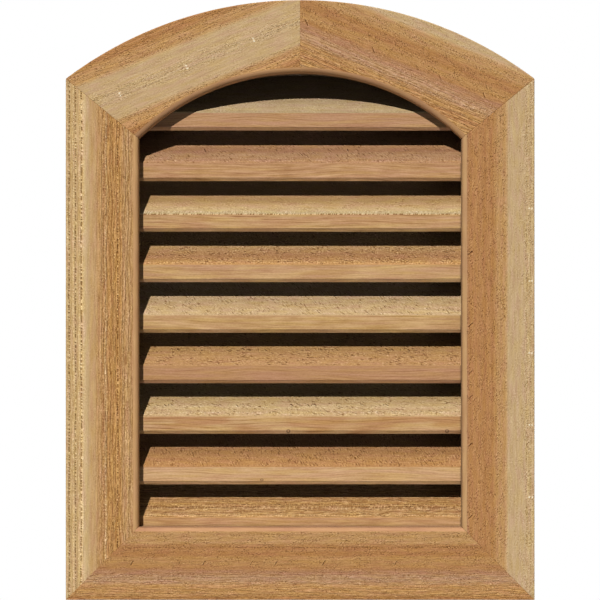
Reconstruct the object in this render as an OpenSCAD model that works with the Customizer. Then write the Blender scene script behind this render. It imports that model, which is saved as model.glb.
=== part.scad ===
// Arch-topped gable vent: a five-board casing in front of a louvered box with an insect screen.
// The front faces -Y and +Z is up. The origin is on the wall plane, in the middle of the
// casing's bottom flange, so the casing stands in front of the wall and the box goes into it.

/* [Overall] */
// Width over the casing
overall_w = 572; // [470:2:700]
// Height from the casing's lower edge to the top of its arch
overall_h = 732; // [600:2:900]
// Rise of the casing's outer arch above its shoulders
outer_rise = 96; // [76:1:120]
// Rise of the opening's arch above its springing
inner_rise = 80; // [60:1:100]

/* [Casing] */
// Width of the upright boards and of the bottom board
casing_w = 89; // [74:1:110]
// Width of the arched boards at the middle of the arch
arch_w = 89; // [74:1:110]
// Thickness of the casing boards
casing_t = 22; // [16:0.5:30]
// Radius along the front edge of the opening
edge_r = 7; // [2:0.5:10]
// Depth of the rebate in the casing's back that takes the box
rebate_d = 3; // [1:0.5:6]
// Clearance around the box in that rebate
rebate_play = 0.3; // [0.1:0.1:1]

/* [Box] */
// Thickness of the boards of the box
box_t = 19; // [12:1:25]
// Depth of the boards of the box, front to back
box_d = 79; // [66:1:120]
// Distance that the box stands back behind the casing's inner edge
box_setback = 3; // [0:0.5:8]

/* [Louvers] */
// Number of louvers
louver_count = 9; // [6:1:10]
// Thickness of a louver
louver_t = 20; // [16:0.5:23]
// Width of a louver, along its slope
louver_w = 89; // [74:1:107]
// Slope of a louver from level, in degrees
louver_slope = 40; // [33:1:48]
// Height of the upright face along the front of a louver
louver_face = 19; // [12:0.5:19]
// Height of the bottom louver's front edge above the foot of the opening
louver_first = 12; // [8:1:20]
// Drop from the top of the opening to the top louver's front edge
louver_last = 46; // [36:1:60]
// Clearance between the louvers and the box
louver_play = 0.3; // [0.1:0.1:1]

/* [Insect screen] */
// Thickness of the screen
screen_t = 1; // [0.5:0.5:3]
// Distance from the edge of the screen to the outside of the box
screen_margin = 5; // [2:1:12]

/* [Hidden] */
$fn = 180;
// Cutters run past the faces that they cut by this much.
over = 1;
// Mitre cuts run this many times their own length.
mitre_reach = 3;

// Casing outline, with heights from the casing's lower edge
outer_half = overall_w / 2;
shoulder_z = overall_h - outer_rise;
outer_r = arc_r(outer_half, outer_rise);
outer_centre_z = overall_h - outer_r;

// Opening in the casing
opening_half = outer_half - casing_w;
opening_foot_z = casing_w;
opening_top_z = overall_h - arch_w;
spring_z = opening_top_z - inner_rise;
opening_r = arc_r(opening_half, inner_rise);
arch_centre_z = opening_top_z - opening_r;

// Box, whose arch is about the same centre as the opening's
box_in_half = opening_half + box_setback;
box_in_r = opening_r + box_setback;
box_foot_z = opening_foot_z - box_setback;
box_out_half = box_in_half + box_t;
box_out_r = box_in_r + box_t;
box_base_z = box_foot_z - box_t;
box_front_y = -rebate_d;
box_back_y = box_front_y + box_d;

// Louvers are numbered from the top, and spaced evenly.
louver_low_z = opening_foot_z + louver_first;
louver_high_z = opening_top_z - louver_last;
louver_pitch = (louver_high_z - louver_low_z) / (louver_count - 1);

// The origin is this far above the casing's lower edge.
origin_rise = box_base_z / 2;

board_colour = [0.75, 0.58, 0.40];
arch_colour = [0.71, 0.53, 0.35];
louver_colour = [0.72, 0.57, 0.42];
box_colour = [0.66, 0.50, 0.34];
screen_colour = [0.15, 0.15, 0.15];

LOUVERS = [for (n = [1:louver_count]) str("louver_", n)];

// Radius of an arc with this half width and rise
function arc_r(half, rise) = (half * half + rise * rise) / (2 * rise);

// Height at which an arc about the opening's centre is this far from the middle
function arc_z(r, half) = arch_centre_z + sqrt(r * r - half * half);

// A front-view shape made solid between two depths
module slab(from_y, to_y) {
    translate([0, to_y, 0])
        rotate([90, 0, 0])
            linear_extrude(to_y - from_y)
                children();
}

// Front-view shape with upright sides, a level foot and an arched top
module arched(half, foot_z, r) {
    translate([-half, foot_z])
        square([2 * half, arc_z(r, half) - foot_z]);
    intersection() {
        translate([-half, arch_centre_z])
            square([2 * half, 2 * r]);
        translate([0, arch_centre_z])
            circle(r = r);
    }
}

// Everything to the right of the middle and above a mitre through two points
module above_mitre(low, high) {
    far = low + mitre_reach * (high - low);
    polygon([[0, low[1]], low, far, [far[0], overall_h + over], [0, overall_h + over]]);
}

// What is cut away along a square corner at [0, 0] to round it
module corner_cut() {
    difference() {
        translate([-over, -over])
            square(edge_r + over);
        translate([edge_r, edge_r])
            circle(r = edge_r);
    }
}

// A casing board: its front-view shape, less the rebate that takes the box
module casing_board() {
    difference() {
        slab(-casing_t, 0)
            children();
        slab(-rebate_d, over)
            arched(box_out_half + rebate_play, box_base_z - rebate_play, box_out_r + rebate_play);
    }
}

module right_stile() {
    difference() {
        casing_board()
            polygon([[opening_half, opening_foot_z], [outer_half, 0],
                     [outer_half, shoulder_z], [opening_half, spring_z]]);
        translate([opening_half, -casing_t, 0])
            linear_extrude(overall_h)
                corner_cut();
    }
}

module casing_right_stile() {
    color(board_colour)
        right_stile();
}

module casing_left_stile() {
    color(board_colour)
        mirror([1, 0, 0])
            right_stile();
}

module casing_bottom_rail() {
    color(board_colour)
        difference() {
            casing_board()
                polygon([[-outer_half, 0], [outer_half, 0],
                         [opening_half, opening_foot_z], [-opening_half, opening_foot_z]]);
            translate([-outer_half, -casing_t, opening_foot_z])
                rotate([90, 0, 90])
                    linear_extrude(overall_w)
                        mirror([0, 1])
                            corner_cut();
        }
}

module arch_right() {
    difference() {
        casing_board()
            intersection() {
                difference() {
                    translate([0, outer_centre_z])
                        circle(r = outer_r);
                    translate([0, arch_centre_z])
                        circle(r = opening_r);
                }
                above_mitre([opening_half, spring_z], [outer_half, shoulder_z]);
            }
        translate([0, -casing_t, arch_centre_z])
            rotate([-90, 0, 0])
                rotate_extrude()
                    translate([opening_r, 0])
                        corner_cut();
    }
}

module casing_arch_right() {
    color(arch_colour)
        arch_right();
}

module casing_arch_left() {
    color(arch_colour)
        mirror([1, 0, 0])
            arch_right();
}

module box_side() {
    slab(box_front_y, box_back_y)
        polygon([[box_in_half, box_base_z], [box_out_half, box_base_z],
                 [box_out_half, arc_z(box_out_r, box_out_half)],
                 [box_in_half, arc_z(box_in_r, box_in_half)]]);
}

module box_right_side() {
    color(box_colour)
        box_side();
}

module box_left_side() {
    color(box_colour)
        mirror([1, 0, 0])
            box_side();
}

module box_sill() {
    color(box_colour)
        translate([-box_in_half, box_front_y, box_base_z])
            cube([2 * box_in_half, box_d, box_t]);
}

module box_head() {
    slab(box_front_y, box_back_y)
        intersection() {
            translate([0, arch_centre_z])
                difference() {
                    circle(r = box_out_r);
                    circle(r = box_in_r);
                }
            above_mitre([box_in_half, arc_z(box_in_r, box_in_half)],
                        [box_out_half, arc_z(box_out_r, box_out_half)]);
        }
}

module box_head_right() {
    color(box_colour)
        box_head();
}

module box_head_left() {
    color(box_colour)
        mirror([1, 0, 0])
            box_head();
}

// A sloping board, cut upright at its front and trimmed to the inside of the box
module louver(n) {
    front_z = louver_low_z + (louver_count - n) * louver_pitch;
    color(louver_colour)
        intersection() {
            slab(0, box_back_y - louver_play)
                arched(box_in_half - louver_play, box_foot_z, box_in_r - louver_play);
            translate([-box_out_half, 0, front_z])
                rotate([louver_slope, 0, 0])
                    translate([0, -louver_face * sin(louver_slope), -louver_t])
                        cube([2 * box_out_half, louver_w, louver_t]);
        }
}

module insect_screen() {
    color(screen_colour)
        slab(box_back_y, box_back_y + screen_t)
            arched(box_out_half - screen_margin, box_base_z + screen_margin,
                   box_out_r - screen_margin);
}

// Moves the vent so that the origin is in the middle of its bottom flange
module placed() {
    translate([0, 0, -origin_rise])
        children();
}

placed() casing_left_stile();
placed() casing_right_stile();
placed() casing_bottom_rail();
placed() casing_arch_left();
placed() casing_arch_right();
placed() box_left_side();
placed() box_right_side();
placed() box_sill();
placed() box_head_left();
placed() box_head_right();
for (n = [1:louver_count]) {
    placed() louver(n);
}
placed() insect_screen();
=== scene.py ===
"""An arch-topped gable vent in rough-sawn cedar, with nine fixed louvers and an insect screen."""

import math

import bpy
import numpy as np
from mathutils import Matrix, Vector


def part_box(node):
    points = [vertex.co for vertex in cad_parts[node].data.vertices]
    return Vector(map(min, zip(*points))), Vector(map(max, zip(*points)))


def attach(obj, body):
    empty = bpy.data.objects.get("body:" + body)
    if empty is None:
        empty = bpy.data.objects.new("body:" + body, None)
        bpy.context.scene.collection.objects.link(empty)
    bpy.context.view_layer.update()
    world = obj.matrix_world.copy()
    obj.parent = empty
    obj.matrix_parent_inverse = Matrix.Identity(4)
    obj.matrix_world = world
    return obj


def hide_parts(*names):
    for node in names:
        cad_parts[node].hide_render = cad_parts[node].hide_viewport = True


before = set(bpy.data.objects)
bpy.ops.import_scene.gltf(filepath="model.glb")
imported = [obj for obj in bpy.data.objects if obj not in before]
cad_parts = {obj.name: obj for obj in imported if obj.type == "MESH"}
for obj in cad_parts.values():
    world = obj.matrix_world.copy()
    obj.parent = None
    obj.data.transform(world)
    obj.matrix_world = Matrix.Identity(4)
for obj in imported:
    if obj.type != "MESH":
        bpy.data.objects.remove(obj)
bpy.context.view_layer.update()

# ---- sizes, all in millimetres


def corners(node):
    """Lowest and highest corners of a CAD node, in millimetres."""
    low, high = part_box(node)
    return np.array(low) * 1000, np.array(high) * 1000


STILE_LOW, STILE_HIGH = corners("casing_right_stile")
RAIL_LOW, RAIL_HIGH = corners("casing_bottom_rail")
ARCH_LOW, ARCH_HIGH = corners("casing_arch_right")
SIDE_LOW, SIDE_HIGH = corners("box_right_side")
SILL_LOW, SILL_HIGH = corners("box_sill")
HEAD_HIGH = corners("box_head_right")[1]
SCREEN_LOW, SCREEN_HIGH = corners("insect_screen")

EDGE_R = 7.0  # rounding along the front edge of the opening
REBATE = 3.0  # depth of the rebate in the casing's back
REBATE_PLAY = 0.3
LOUVER_T = 20.0
LOUVER_W = 89.0
LOUVER_SLOPE = math.radians(40)
LOUVER_FACE = 19.0  # height of a louver's upright front
LOUVER_PLAY = 0.3  # gap between a louver's ends and the bay
ARRIS_R = 2.2  # easing of the edge between a louver's slope and its front
MESH_PITCH = 1.7  # from wire to wire of the insect screen
WIRE = 0.32  # thickness of the screen's wires

HALF_IN = STILE_LOW[0]
HALF_OUT = STILE_HIGH[0]
CASING_W = HALF_OUT - HALF_IN
FRONT_Y = STILE_LOW[1]
FOOT_Z = RAIL_LOW[2]
OPEN_Z = RAIL_HIGH[2]
SHOULDER_Z = STILE_HIGH[2]
TOP_Z = ARCH_HIGH[2]
SPRING_Z = ARCH_LOW[2]
BOX_T = SIDE_HIGH[0] - SIDE_LOW[0]
BOX_IN = SIDE_LOW[0]
BOX_OUT = SIDE_HIGH[0]
SETBACK = BOX_IN - HALF_IN
CROWN_Z = HEAD_HIGH[2] - BOX_T - SETBACK
PITCH = corners("louver_4")[1][2] - corners("louver_5")[1][2]
LOUVER_RISE = (LOUVER_W - LOUVER_FACE * math.sin(LOUVER_SLOPE)) * math.sin(LOUVER_SLOPE)
LOUVER_3_Z = corners("louver_3")[1][2] - LOUVER_RISE


def arc_radius(half, rise):
    """Radius of an arc of this half width and rise: (half² + rise²) / 2 rise."""
    return (half * half + rise * rise) / (2 * rise)


R_IN = arc_radius(HALF_IN, CROWN_Z - SPRING_Z)
R_OUT = arc_radius(HALF_OUT, TOP_Z - SHOULDER_Z)
IN_CENTRE_Z = CROWN_Z - R_IN
OUT_CENTRE_Z = TOP_Z - R_OUT
R_BAY = R_IN + SETBACK
R_BOX = R_BAY + BOX_T

# ---- noise worked out as arrays


def lattice(a, b, seed):
    """Noise from 0 to 1: random numbers on a square lattice, joined by the curve 3t² - 2t³."""
    table = np.random.default_rng(seed).random((256, 256))
    column = np.floor(a).astype(int)
    row = np.floor(b).astype(int)
    s = a - column
    t = b - row
    s = s * s * (3 - 2 * s)
    t = t * t * (3 - 2 * t)
    column, right = column & 255, (column + 1) & 255
    row, above = row & 255, (row + 1) & 255
    low = table[column, row] * (1 - s) + table[right, row] * s
    high = table[column, above] * (1 - s) + table[right, above] * s
    return low * (1 - t) + high * t


def ease_in(value, low, high):
    """Smooth step from 0 to 1: 3t² - 2t³ of the share t of the way from low to high."""
    t = np.clip((value - low) / (high - low), 0, 1)
    return t * t * (3 - 2 * t)


def bell(distance):
    """A bell curve across a line: e to the power -(d / 0.9 mm)²."""
    return np.exp(-((distance / 0.9) ** 2))


def saw_marks(u, v, seed):
    """Depth of saw marks: long shallow ripples plus short fine ones, both stretched along the grain."""
    wander = 2.5 * lattice(u / 40, v / 30, seed)
    long = lattice(u / 20, (v + wander) / 2.8, seed + 1)
    short = lattice(u / 4.5, (v + wander) / 1.6, seed + 2)
    return 0.16 * long + 0.14 * short


def combed(u, v, seed, length, width):
    """Combed grain, from -1 to 1: the sine of a distance that wanders, stronger in some places."""
    far = v + 5 * lattice(u / 90, v / 11, seed) + 0.8 * lattice(u / 9, v / 4, seed + 1)
    wave = np.sin(far * (2 * math.pi / width))
    strength = lattice(u / length, v / (0.7 * width), seed + 2)
    return np.clip(wave * (1.5 * strength + 0.15), -1, 1)


def nearest_tear(u, v, tears):
    """Distances along and across the nearest of the tears, and its strength, at every point.

    The distance along is in tenths of the tear's length.
    """
    best = np.full(u.shape, 1e9)
    found = [np.full(u.shape, 50.0), np.full(u.shape, 50.0), np.zeros(u.shape)]
    for at, lean, length, strength in tears:
        cos, sin = math.cos(math.radians(lean)), math.sin(math.radians(lean))
        du, dv = u - at[0], v - at[1]
        nearer = du**2 + dv**2 < best
        best = np.where(nearer, du**2 + dv**2, best)
        values = ((du * cos + dv * sin) * 10 / length, dv * cos - du * sin, strength)
        found = [np.where(nearer, value, old) for value, old in zip(values, found)]
    return found


def grain(u, v, seed, comb=(), fibre=(16, 4.4), dark=(), light=(), tears=(), specks=()):
    """Depth in millimetres, tone from -1 to 1, and the nearest tear, of a sawn face.

    The depth is the saw marks, plus the hollows between combed ridges, torn grooves and tears,
    less the raised fibres and specks: each groove, fibre and tear is a bell curve across its line.
    The tone is light on combed ridges, dark between them, and brightest on specks.
    """
    depth = saw_marks(u, v, seed)
    tone = np.zeros_like(depth)
    if comb:
        where, strength = np.array(comb, float).T
        reach = np.interp(v, where, strength)
        ridges = reach * combed(u, v, seed + 5, *fibre)
        depth = depth + 0.22 * (reach - ridges)
        tone = tone + 0.6 * ridges
    for lines, bead, own, deep in ((dark, 4, 20, 0.35), (light, 6, 50, -0.2)):
        for at, strength in lines:
            uneven = 0.5 + lattice(u / bead, v * 0 + at, seed + own)
            depth = depth + deep * (strength * bell(v - at) * uneven)
    tear = nearest_tear(u, v, tears)
    if tears:
        depth = depth + 0.6 * (tear[2] * bell(tear[1]) * ease_in(5 - abs(tear[0]), 0, 2))
    for at, strength in specks:
        dot = strength * np.exp(-((u - at[0]) ** 2 + (v - at[1]) ** 2) / 1.5)
        depth = depth - 0.2 * dot
        tone = tone + 3.0 * dot
    return np.clip(depth, 0, None), tone, np.stack(tear, axis=-1)


# ---- meshes


def straight(start, end, step, rough=1.0):
    """Points from start up to, not including, end, at about this step, each with its roughness."""
    start = np.array(start, float)
    end = np.array(end, float)
    count = max(1, round(float(np.hypot(*(end - start))) / step))
    share = np.arange(count)[:, None] / count
    points = start + (end - start) * share
    return np.column_stack([points, np.full(count, rough)])


def bend(centre, radius, first, last, count, rough=0.0):
    """Points on an arc, centre + R (cos a, sin a), from the first angle up to the last, in degrees.

    The last point is left out, because the next leg of a profile starts there.
    """
    angle = np.radians(first + (last - first) * np.arange(count) / count)
    points = np.column_stack([np.cos(angle), np.sin(angle)]) * radius + centre
    return np.column_stack([points, np.full(count, rough)])


def inward(loop):
    """Unit normals of a closed loop of points, turned to its inside by the sign of its area."""
    ahead = np.roll(loop, -1, axis=0)
    along = ahead - np.roll(loop, 1, axis=0)
    along /= np.linalg.norm(along, axis=1)[:, None]
    area = np.sum(loop[:, 0] * ahead[:, 1] - loop[:, 1] * ahead[:, 0])
    return np.column_stack([-along[:, 1], along[:, 0]]) * np.sign(area)


def stations(length, step, ease):
    """Shares of a length, evenly spaced, with two more close to each end for the eased corners."""
    even = np.linspace(0, 1, max(3, round(length / step)))[1:-1]
    near = np.array([0, 0.35 * ease, ease]) / length
    even = even[(even > 1.5 * ease / length) & (even < 1 - 1.5 * ease / length)]
    return np.concatenate([near, even, 1 - near[::-1]])


def end_inset(share, length, start, end):
    """How far the surface stands in near each end, so that the end's corner is cut at 45 degrees."""
    from_start = start - share * length
    from_end = end - (1 - share) * length
    return np.clip(np.maximum(from_start, from_end), 0, None)


def show(name, data):
    """An object at the origin with this data, linked to the scene."""
    thing = bpy.data.objects.new(name, data)
    bpy.context.scene.collection.objects.link(thing)
    return thing


def mesh_of(name, points, faces, *materials):
    """A mesh of these points, in millimetres, and faces."""
    mesh = bpy.data.meshes.new(name)
    mesh.from_pydata((points.reshape(-1, 3) / 1000).tolist(), [], faces)
    for material in materials:
        mesh.materials.append(material)
    return mesh


def make_piece(mesh, slot, *nodes):
    """A piece of the one body, in place of these CAD nodes."""
    mesh.validate()
    piece = show(mesh.name, mesh)
    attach(piece, "root")
    if nodes:
        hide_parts(*nodes)


def solid(name, rings, slot, node, materials, tone, tear=None, which=None, smooth=38):
    """A closed mesh from rings of points: quads between rings, and one flat face over each end.

    The faces are turned outwards by the sign of the volume that they enclose. Edges that turn by
    more than the smooth angle, in degrees, stay sharp.
    """
    count, size = rings.shape[:2]
    index = np.arange(count * size).reshape(count, size)
    ahead = np.roll(index, -1, axis=1)
    quads = np.stack([index[:-1], ahead[:-1], ahead[1:], index[1:]], axis=-1).reshape(-1, 4)
    points = rings.reshape(-1, 3)
    corner = points[quads]
    normal = np.cross(corner[:, 2] - corner[:, 0], corner[:, 3] - corner[:, 1])
    middle = corner.mean(axis=1) - points.mean(axis=0)
    faces = quads.tolist() + [index[0][::-1].tolist(), index[-1].tolist()]
    if np.sum(normal * middle) < 0:
        faces = [face[::-1] for face in faces]
    mesh = mesh_of(name, points, faces, *materials)
    if which is not None:
        slots = np.concatenate([np.tile(which, count - 1), [0, 0]]).astype(np.int32)
        mesh.polygons.foreach_set("material_index", slots)
    layer = mesh.attributes.new("tone", "FLOAT", "POINT")
    layer.data.foreach_set("value", tone.reshape(-1).astype(np.float32))
    if tear is not None:
        layer = mesh.attributes.new("tear", "FLOAT_VECTOR", "POINT")
        layer.data.foreach_set("vector", tear.reshape(-1).astype(np.float32))
    mesh.shade_smooth()
    mesh.set_sharp_from_angle(angle=math.radians(smooth))
    make_piece(mesh, slot, node)


def board(name, node, slot, inner, outer, width, profile, face, material, step, ease=(0.4, 0.4)):
    """A board between an inner and an outer edge curve.

    A point is (1 - s) inner(t) + s outer(t), where t runs from end to end, and s and the depth
    from front to back follow the closed profile. The profile stands in by the depth that the
    face gives at each point, and by a little more at the two ends, which the tone darkens.
    """
    length = float(np.linalg.norm(np.diff(inner(np.array([0.0, 1.0])), axis=0)))
    share = stations(length, step, 0.6)
    near = inner(share)[:, None, :]
    far = outer(share)[:, None, :]
    across, back, rough = profile.T
    flat = near + (far - near) * (across / width)[None, :, None]
    into = inward(profile[:, :2])
    depth, tone, tear = face(flat[..., 0], flat[..., 1], across[None, :], back[None, :])
    cut = end_inset(share, length, *ease)[:, None]
    stand = depth * rough[None, :] + cut
    across = across[None, :] + into[None, :, 0] * stand
    back = back[None, :] + into[None, :, 1] * stand
    flat = near + (far - near) * (across / width)[..., None]
    rings = np.stack([flat[..., 0], back, flat[..., 1]], axis=-1)
    solid(name, rings, slot, node, [material], tone * rough[None, :] - 5 * cut, tear)


def casing_profile(width, step):
    """Across and depth round a casing board: inner face, rounded edge, front, outer face, back.

    The back has a rebate next to the opening, for the box. The outer corners have a small radius.
    """
    front = FRONT_Y
    lip = BOX_OUT - HALF_IN + REBATE_PLAY
    small = 1.2
    return np.vstack(
        [
            straight((0, -REBATE), (0, front + EDGE_R), 3, 0.0),
            bend((EDGE_R, front + EDGE_R), EDGE_R, 180, 270, 10, 0.0),
            straight((EDGE_R, front), (width - small, front), step),
            bend((width - small, front + small), small, 270, 360, 3, 0.4),
            straight((width, front + small), (width, -small), 1.6, 0.35),
            bend((width - small, -small), small, 0, 90, 3, 0.4),
            straight((width - small, 0), (lip, 0), 3.5, 0.7),
            straight((lip, 0), (lip, -REBATE), 1.5, 0.0),
            straight((lip, -REBATE), (0, -REBATE), 3.5, 0.0),
        ]
    )


def plank_profile(width, low, high):
    """Across and depth round a plain board with slightly eased corners, from its first side."""
    small = 0.8
    left, right = small, width - small
    front, back = low + small, high - small
    corner = [(left, front), (right, front), (right, back), (left, back)]
    out = [(-small, 0), (0, -small), (small, 0), (0, small)]
    legs = []
    for turn, rough in enumerate((0.5, 0.5, 0.8, 0.5)):
        start, end = np.add(corner[turn - 1], out[turn]), np.add(corner[turn], out[turn])
        legs.append(straight(start, end, 3.0, rough))
        legs.append(bend(corner[turn], small, 180 + 90 * turn, 270 + 90 * turn, 3))
    return np.vstack(legs)


def straight_edge(start, end):
    """An edge that runs straight: start + t (end - start)."""
    start = np.array(start, float)
    way = np.array(end, float) - start
    return lambda t: start + way * np.asarray(t)[:, None]


def upright_edge(x, low, high):
    """An edge straight up at x, from low to high."""
    return straight_edge((x, low), (x, high))


def level_edge(z, half):
    """An edge straight across at height z, from -half to half."""
    return straight_edge((-half, z), (half, z))


def arc_edge(centre_z, radius, side, end_x):
    """An edge on an arc: x = ±R sin(a), z = centre + R cos(a), from the crown to where x is ±end_x."""
    sweep = math.asin(end_x / radius)

    def edge(t):
        angle = sweep * np.asarray(t)
        return np.column_stack([side * radius * np.sin(angle), centre_z + radius * np.cos(angle)])

    return edge


# ---- shader sums


def math_method(operation, turned=False):
    """A method that adds a Math node, with its two values turned round for a reflected operator."""

    def method(self, *others):
        values = (*others, self) if turned else (self, *others)
        return self.tree.add("ShaderNodeMath", {"operation": operation}, dict(enumerate(values)))

    return method


class Number:
    """A socket of a node tree: a sum on it adds a Math node."""

    def __init__(self, tree, socket):
        self.tree = tree
        self.socket = socket

    __add__ = __radd__ = math_method("ADD")
    __sub__ = math_method("SUBTRACT")
    __rsub__ = math_method("SUBTRACT", turned=True)
    __mul__ = __rmul__ = math_method("MULTIPLY")
    __truediv__ = math_method("DIVIDE")
    __pow__ = math_method("POWER")
    __abs__ = math_method("ABSOLUTE")
    sqrt = math_method("SQRT")
    sine = math_method("SINE")
    larger = math_method("MAXIMUM")


class Nodes:
    """A node tree, to which nodes are added."""

    def __init__(self, tree):
        self.nodes = tree.nodes
        self.links = tree.links

    def feed(self, socket, value):
        """Links a socket to a number or a colour that is worked out, or sets it to a plain one."""
        if isinstance(value, Number):
            self.links.new(value.socket, socket)
        elif isinstance(value, tuple) and socket.type == "RGBA":
            socket.default_value = (*value, 1)
        else:
            socket.default_value = value

    def add(self, kind, settings=None, inputs=None, output=0):
        """Adds a node: first its settings, then what each of its sockets holds."""
        node = self.nodes.new(kind)
        settings = dict(settings or {})
        stops = settings.pop("stops", None)
        for key, value in settings.items():
            setattr(node, key, value)
        if stops:
            elements = node.color_ramp.elements
            while len(elements) < len(stops):
                elements.new(0.5)
            for element, (where, colour) in zip(elements, stops):
                element.position = where
                element.color = (*colour, 1)
        for key, value in (inputs or {}).items():
            self.feed(node.inputs[key], value)
        return Number(self, node.outputs[output])

    def split(self, kind, value):
        """The three numbers of a colour or a vector, from the kind of node that separates it."""
        first = self.add(kind, inputs={0: value})
        return [Number(self, socket) for socket in first.socket.node.outputs]


class Finish(Nodes):
    """One material: its shader, and the patterns that feed it."""

    def __init__(self, name, specular=0.25):
        self.material = bpy.data.materials.new(name)
        self.material.use_nodes = True
        super().__init__(self.material.node_tree)
        self.shader = next(n for n in self.nodes if n.type == "BSDF_PRINCIPLED")
        self.shader.inputs["Roughness"].default_value = 0.9
        self.shader.inputs["Specular IOR Level"].default_value = specular

    def place(self):
        """The object coordinates, in millimetres, as three numbers."""
        where = self.add("ShaderNodeTexCoord", output="Object")
        return [number * 1000 for number in self.split("ShaderNodeSeparateXYZ", where)]

    def noise(self, a, b, c, detail=1.0, roughness=0.5):
        """Noise at three numbers, from 0 to 1."""
        where = self.add("ShaderNodeCombineXYZ", inputs={0: a, 1: b, 2: c})
        inputs = {"Vector": where, "Scale": 1.0, "Detail": detail, "Roughness": roughness}
        return self.add("ShaderNodeTexNoise", {"noise_dimensions": "3D"}, inputs)

    def between(self, value, low, high, to_low=0.0, to_high=1.0):
        """A smooth step from to_low to to_high as the value goes from low to high."""
        settings = {"interpolation_type": "SMOOTHSTEP"}
        inputs = {0: value, 1: low, 2: high, 3: to_low, 4: to_high}
        return self.add("ShaderNodeMapRange", settings, inputs)

    def ramp(self, value, low, high, stops):
        """A colour looked up at a number, with stops given in the number's own unit."""
        share = (value - low) * (1 / (high - low))
        stops = [((at - low) / (high - low), colour) for at, colour in stops]
        return self.add("ShaderNodeValToRGB", {"stops": stops}, {0: share})

    def mix(self, factor, a, b, blend="MIX"):
        """Colour a, turned towards b, or towards its blend with b, by a factor from 0 to 1."""
        settings = {"data_type": "RGBA", "blend_type": blend}
        return self.add("ShaderNodeMix", settings, {0: factor, 6: a, 7: b}, output=2)

    def scale(self, colour, factor):
        """A colour times a number."""
        return self.add("ShaderNodeVectorMath", {"operation": "SCALE"}, {0: colour, 3: factor})

    def warm(self, colour, factor):
        """A colour times a number to the first power in red, and to higher ones in green and blue.

        Cedar's dark grain is redder than its light grain, so one swing of tone gives both.
        """
        inputs = {0: factor, 1: factor**1.33, 2: factor**1.85}
        swing = self.add("ShaderNodeCombineXYZ", inputs=inputs)
        return self.add("ShaderNodeVectorMath", {"operation": "MULTIPLY"}, {0: colour, 1: swing})

    def tinted(self, colour, value, above, below):
        """A colour multiplied by one tint where the value is above a half, and by another below."""
        colour = self.mix(self.between(value, 0.5, 0.66), colour, above, "MULTIPLY")
        return self.mix(self.between(value, 0.5, 0.34), colour, below, "MULTIPLY")

    def parts(self, colour):
        """A colour's red, green and blue."""
        return self.split("ShaderNodeSeparateColor", colour)

    def attribute(self, name):
        """A number that the mesh holds at each point."""
        return self.add("ShaderNodeAttribute", {"attribute_name": name}, output="Fac")

    def attribute_parts(self, name):
        """Three numbers that the mesh holds at each point."""
        vector = self.add("ShaderNodeAttribute", {"attribute_name": name}, output="Vector")
        return self.split("ShaderNodeSeparateXYZ", vector)

    def finish(self, colour, height, roughness):
        """Feeds the shader: colour, a bump from a height in millimetres, and roughness."""
        bump = self.add("ShaderNodeBump", inputs={"Distance": 0.001, "Height": height})
        self.feed(self.shader.inputs["Base Color"], colour)
        self.feed(self.shader.inputs["Normal"], bump)
        self.feed(self.shader.inputs["Roughness"], roughness)
        return self.material


# ---- cedar

PALE = (0.60, 0.41, 0.205)
BUFF = (0.585, 0.378, 0.167)
CREAM = (0.56, 0.38, 0.195)
FAWN = (0.52, 0.35, 0.17)
STRAW = (0.53, 0.32, 0.14)
TAN = (0.475, 0.2585, 0.0995)
HONEY = (0.455, 0.233, 0.0805)
AMBER = (0.45, 0.2235, 0.068)
ORANGE = (0.43, 0.2065, 0.073)
BRICK = (0.402, 0.1865, 0.062)
RUST = (0.385, 0.174, 0.050)
ROSE = (0.45, 0.246, 0.117)
MAUVE = (0.41, 0.203, 0.093)
FLASH = (0.92, 0.80, 0.58)  # a bright speck
SAWN_DEEP = 0.35  # how far the pattern moves across the grain for each millimetre of depth


def dim(colour, by=1.0):
    """A plain colour times a number."""
    return tuple(c * by for c in colour)


def drawn(f, where, reach, lines, width):
    """Narrow lines: each rises from nothing to its strength and back within the width."""
    none = (0, 0, 0)
    stops = []
    for at, strength in sorted(lines):
        stops += [(at - width, none), (at, (strength,) * 3), (at + width, none)]
    return f.parts(f.ramp(where, *reach, stops))[0]


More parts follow.
